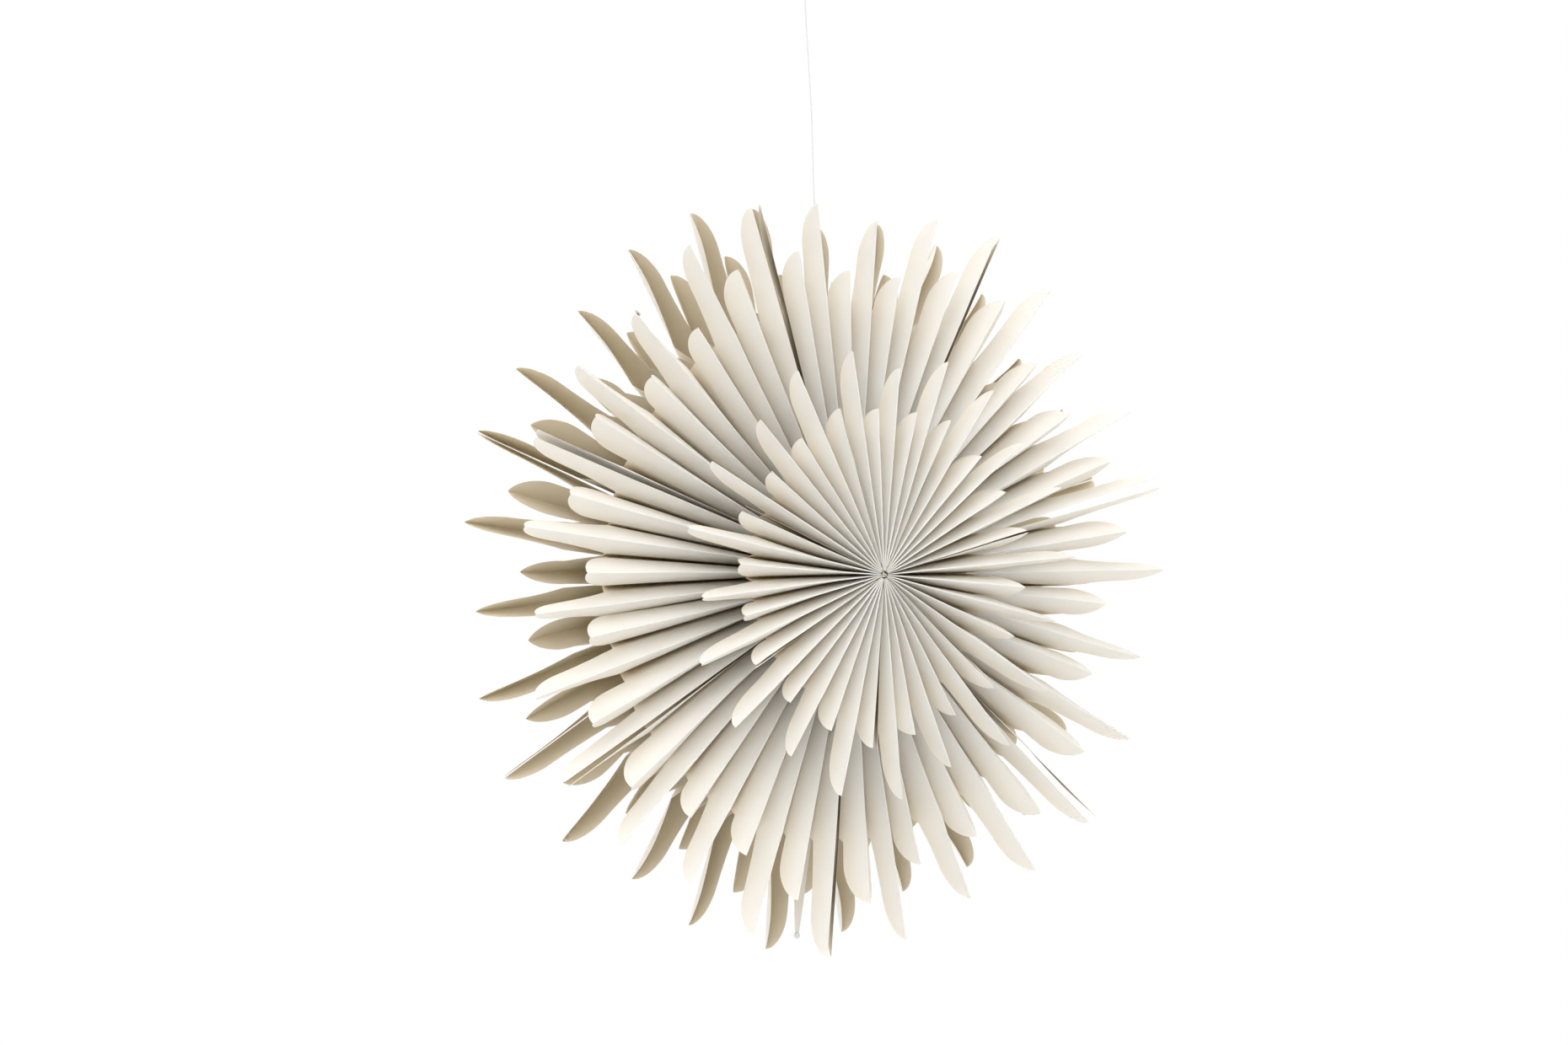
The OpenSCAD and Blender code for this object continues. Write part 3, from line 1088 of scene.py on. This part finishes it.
class ShaderGroups:
    """Shared effects that the materials place with their own values."""

    CLOUD_SHARE = 0.7

    def __init__(self) -> None:
        """Builds the groups once."""
        self.fibre = self.fibre_group()

    def fibre_group(self) -> bpy.types.NodeTree:
        """Builds the group for paper and thread fibres.

        Returns:
            A group with a tone that varies slowly and a height that varies finely.
        """
        tree = bpy.data.node_groups.new("fibres", "ShaderNodeTree")
        tree.interface.new_socket("Vector", in_out="INPUT", socket_type="NodeSocketVector")
        for name in ("Fibre Scale", "Cloud Scale", "Stretch"):
            tree.interface.new_socket(name, in_out="INPUT", socket_type="NodeSocketFloat")
        for name in ("Tone", "Height"):
            tree.interface.new_socket(name, in_out="OUTPUT", socket_type="NodeSocketFloat")
        build = TreeBuilder(tree)
        given = build.add("NodeGroupInput").outputs
        shape = build.add("ShaderNodeCombineXYZ", {"X": given["Stretch"], "Y": 1.0, "Z": 1.0})
        stretched = build.vector("MULTIPLY", {0: given["Vector"], 1: shape.outputs[0]})
        fine, cloud = (
            build.add("ShaderNodeTexNoise", {"Vector": spot, "Scale": given[scale], "Detail": 2.0}).outputs[0]
            for spot, scale in ((stretched, "Fibre Scale"), (given["Vector"], "Cloud Scale"))
        )
        tone = build.math(
            "ADD", build.math("MULTIPLY", cloud, self.CLOUD_SHARE),
            build.math("MULTIPLY", fine, 1 - self.CLOUD_SHARE),
        )
        build.add("NodeGroupOutput", {"Tone": tone, "Height": fine})
        return tree

    def lay(
        self, build: TreeBuilder, spot: str, fibre_scale: float, cloud_scale: float, stretch: float
    ) -> bpy.types.NodeOutputs:
        """Lays the fibre group into a material, on one of its coordinates, and returns its outputs."""
        spots = build.add("ShaderNodeTexCoord").outputs
        return build.add("ShaderNodeGroup", {
            "Vector": spots[spot], "Fibre Scale": fibre_scale, "Cloud Scale": cloud_scale, "Stretch": stretch,
        }, node_tree=self.fibre).outputs


@dataclass(frozen=True)
class FibreFinish:
    """A matt finish of paper or thread."""

    name: str
    light: tuple[float, float, float]
    shade: tuple[float, float, float]
    fibre_scale: float
    cloud_scale: float
    stretch: float
    bump: float
    roughness: float
    spot: str = "Object"
    glow: float = 0.0
    # Folded paper gets painted shade from the three colours below.
    folded: bool = False
    # Painted shade: the paper turns darker and browner towards the bottom of its folds, fully at the share
    # fold_full of their depth.
    fold_painted_shade: tuple[float, float, float] = (0.82, 0.72, 0.56)
    fold_full: float = 0.85
    # Painted shade: darker, browner paper on the inner sides of the leaves.
    inside_painted_shade: tuple[float, float, float] = (0.74, 0.68, 0.57)
    # Painted shadow: a dark line on the inner sides of the seams' flanks, where the gaps between the sheets are
    # seen.
    seam_painted_shadow: tuple[float, float, float] = (0.13, 0.11, 0.085)
    sheen: float = 0.25
    glow_radius: tuple[float, float, float] = (1.0, 0.84, 0.52)
    glow_scale: float = 0.3 * MM

    def make(self, groups: ShaderGroups) -> bpy.types.Material:
        """Builds the material.

        Args:
            groups: the shared effects.

        Returns:
            The material.
        """
        material, build, skin = new_material(self.name)
        fibres = groups.lay(build, self.spot, self.fibre_scale, self.cloud_scale, self.stretch)
        colour = build.blend(fibres["Tone"], self.shade, self.light)
        if self.folded:
            colour = self.paint_paper_shade(build, colour)
        relief = build.add("ShaderNodeBump", {
            "Strength": 1.0, "Distance": self.bump, "Height": fibres["Height"],
        })
        for name, value in (
            ("Base Color", colour),
            ("Normal", relief.outputs[0]),
            ("Roughness", self.roughness),
            ("Specular IOR Level", self.sheen),
            ("Subsurface Weight", self.glow),
            ("Subsurface Radius", self.glow_radius),
            ("Subsurface Scale", self.glow_scale),
        ):
            build.feed(value, skin[name])
        material.node_tree.nodes["Principled BSDF"].subsurface_method = "BURLEY"
        return material

    def paint_paper_shade(self, build: TreeBuilder, colour: bpy.types.NodeSocket) -> bpy.types.NodeSocket:
        """Paints shade on the paper: darker and browner towards the bottom of its folds and on the inner sides
        of its leaves, with a dark painted shadow in the seams' gaps.

        Args:
            build: the material's builder.
            colour: the paper's own colour.

        Returns:
            The colour with the painted shade.
        """
        fold, inside, seam = (
            build.add("ShaderNodeAttribute", attribute_name=name).outputs["Fac"]
            for name in ("fold", "inside", "seam")
        )
        colour = build.blend(build.soft_step(fold, From_Max=self.fold_full), colour, self.fold_painted_shade)
        colour = build.blend(inside, colour, self.inside_painted_shade)
        return build.blend(build.math("MULTIPLY", seam, inside), colour, self.seam_painted_shadow)


@dataclass(frozen=True)
class MetalFinish:
    """Bright plated metal with faint marks."""

    name: str
    colour: tuple[float, float, float]
    roughness: float
    mark_scale: float = 1800.0
    spread: tuple[float, float] = (0.7, 1.4)

    def make(self, groups: ShaderGroups) -> bpy.types.Material:
        """Builds the material.

        Args:
            groups: the shared effects.

        Returns:
            The material.
        """
        material, build, skin = new_material(self.name)
        marks = groups.lay(build, "Object", self.mark_scale, self.mark_scale / 4, 1.0)
        least, most = (self.roughness * share for share in self.spread)
        rough = build.add("ShaderNodeMapRange", {"Value": marks["Tone"], "To Min": least, "To Max": most})
        build.feed(rough.outputs[0], skin["Roughness"])
        build.feed(self.colour, skin["Base Color"])
        build.feed(1.0, skin["Metallic"])
        return material


@dataclass
class Studio:
    """The pale floor, the lights and the camera."""

    floor_drop: float = 1.05
    floor_radius: float = 5.0
    floor_sides: int = 96
    floor_rings: int = 12
    floor_colour: tuple[float, float, float] = (0.86, 0.855, 0.845)
    floor_variation: float = 1.02
    floor_scale: float = 3.0
    floor_roughness: float = 0.9
    front_level: float = 0.27
    back_level: float = 0.97
    back_start: float = -0.9
    back_full: float = 0.7
    front_tint: tuple[float, float, float] = (1.0, 0.94, 0.84)
    key_level: float = 1.60
    key_edge: float = 0.45
    key_azimuth: float = -24.0
    key_height: float = 52.0
    azimuth: float = -30.0
    lens: float = 150.0
    sensor: float = 36.0
    photo_size: tuple[int, int] = (1860, 1240)
    star_pixel: tuple[int, int] = (971, 681)
    pixel: float = 0.564 * MM

    def make(self) -> None:
        """Builds the whole studio."""
        self.floor()
        self.world()
        self.camera()

    def floor(self) -> None:
        """Lays the floor well below the star."""
        middle = CENTRE - Vector((0, 0, self.floor_drop))
        points = [middle]
        for ring in range(1, self.floor_rings + 1):
            r = self.floor_radius * ring / self.floor_rings
            points += [middle + Vector((r * math.cos(a), r * math.sin(a), 0)) for a in circle(self.floor_sides)]
        faces = [[0, 1 + n, 1 + (n + 1) % self.floor_sides] for n in range(self.floor_sides)]
        faces += [[1 + n for n in face] for face in ring_faces(self.floor_rings, self.floor_sides)]
        material, build, skin = new_material("pale_floor")
        spot = build.add("ShaderNodeTexCoord").outputs["Object"]
        noise = build.add("ShaderNodeTexNoise", {"Vector": spot, "Scale": self.floor_scale})
        lighter = tuple(min(1.0, c * self.floor_variation) for c in self.floor_colour)
        build.feed(build.blend(noise.outputs[0], self.floor_colour, lighter), skin["Base Color"])
        build.feed(self.floor_roughness, skin["Roughness"])
        object_from("floor", points, faces, material)

    def world(self) -> None:
        """Lights the star softly from all round, and shows the camera plain white."""
        world = bpy.data.worlds.new("studio")
        bpy.context.scene.world = world
        world.use_nodes = True
        world.node_tree.nodes.clear()
        build = TreeBuilder(world.node_tree)
        towards = build.add("ShaderNodeTexCoord").outputs["Generated"]
        heading = build.add("ShaderNodeSeparateXYZ", {0: towards}).outputs["Y"]
        soft = build.blend(
            build.soft_step(heading, From_Min=self.back_start, From_Max=self.back_full),
            tuple(self.front_level * c for c in self.front_tint),
            (self.back_level, self.back_level, self.back_level),
        )
        aim = build.add("ShaderNodeVectorMath", {
            0: towards, 1: direction(self.key_azimuth, self.key_height),
        }, operation="DOT_PRODUCT")
        key = build.soft_step(aim.outputs["Value"], From_Min=self.key_edge, To_Max=self.key_level)
        light, white = (
            build.add("ShaderNodeBackground", {"Color": colour, "Strength": 1.0}).outputs[0]
            for colour in (build.vector("ADD", {0: soft, 1: key}), (1, 1, 1))
        )
        ray = build.add("ShaderNodeLightPath").outputs
        seen = build.math("MAXIMUM", ray["Is Camera Ray"], ray["Is Glossy Ray"])
        seen = build.math("MAXIMUM", seen, ray["Is Transmission Ray"])
        mix = build.add("ShaderNodeMixShader", {0: seen, 1: light, 2: white})
        build.add("ShaderNodeOutputWorld", {"Surface": mix.outputs[0]})

    def camera(self) -> None:
        """Stands the camera where the photograph was taken from."""
        data = bpy.data.cameras.new("photograph")
        data.lens, data.sensor_width = self.lens, self.sensor
        camera = bpy.data.objects.new("photograph", data)
        bpy.context.scene.collection.objects.link(camera)
        out = direction(self.azimuth, 0.0)
        right = Vector((0, 0, 1)).cross(out)
        width, height = self.photo_size
        distance = self.lens / self.sensor * width * self.pixel
        aim = CENTRE - right * (self.star_pixel[0] - width / 2) * self.pixel
        aim += Vector((0, 0, 1)) * (self.star_pixel[1] - height / 2) * self.pixel
        camera.location = aim + out * distance
        camera.rotation_euler = (-out).to_track_quat("-Z", "Y").to_euler()
        bpy.context.scene.camera = camera


def direction(azimuth: float, elevation: float) -> Vector:
    """Returns the direction from the star towards a place round it, both angles in degrees."""
    a, e = math.radians(azimuth), math.radians(elevation)
    return Vector((math.sin(a) * math.cos(e), -math.cos(a) * math.cos(e), math.sin(e)))


def make_sheets(paper: bpy.types.Material) -> None:
    """Folds all sheets of the star.

    Args:
        paper: their material.
    """
    tree = FoldTree()
    uneven = Unevenness()
    dice = random.Random(uneven.seed)
    for form in (LARGE, SMALL):
        for half in Half:
            for number in range(SHEETS):
                quirks = tuple(uneven.draw(dice) for _ in range(form.leaves + 1))
                closing = form is LARGE and number == CLOSING_SHEET
                PleatedSheet(form, half, number, quirks, closing_flank=closing).make(tree, paper)


def make_discs(metal: bpy.types.Material) -> None:
    """Sets the disc on the closing tab and one in each of two leaf tips.

    Args:
        metal: their material.
    """
    MetalDisc("tab_disc").make(Vector((0, 1, 0)), metal)
    for node, sheet, leaf in (("left_leaf_disc", 6, 4), ("right_leaf_disc", 1, 5)):
        turn = math.radians(SEAM_ANGLES[sheet] + leaf * sheet_width(sheet) / LARGE.leaves)
        MetalDisc(node).make(Vector((math.cos(turn), 0, -math.sin(turn))), metal)


def main() -> None:
    """Builds the star, the studio and the camera."""
    logging.basicConfig(level=logging.INFO, format="%(name)s: %(message)s")
    bpy.context.scene.view_settings.view_transform = "Standard"
    groups = ShaderGroups()
    # The paper takes painted shade in its folds and inside its leaves, and a painted shadow in the seams' gaps.
    paper = FibreFinish(
        "cream_paper", light=(0.890, 0.877, 0.846), shade=(0.868, 0.853, 0.815), fibre_scale=520.0,
        cloud_scale=60.0, stretch=0.35, bump=0.014 * MM, roughness=0.82, spot="UV", glow=0.42, folded=True,
    ).make(groups)
    thread = FibreFinish(
        "white_thread", light=(0.86, 0.86, 0.85), shade=(0.78, 0.78, 0.76), fibre_scale=3000.0,
        cloud_scale=300.0, stretch=1.0, bump=0.03 * MM, roughness=0.8,
    ).make(groups)
    cord = FibreFinish(
        "cotton_cord", light=(0.76, 0.70, 0.60), shade=(0.62, 0.56, 0.46), fibre_scale=2400.0,
        cloud_scale=300.0, stretch=1.0, bump=0.05 * MM, roughness=0.85,
    ).make(groups)
    metal = MetalFinish("bright_nickel", colour=(0.72, 0.71, 0.69), roughness=0.16).make(groups)
    Studio().make()
    HangingThread().make(thread)
    make_sheets(paper)
    CentreCord().make(cord)
    ClosingTab().make(paper)
    make_discs(metal)


if __name__ == "__main__":
    main()
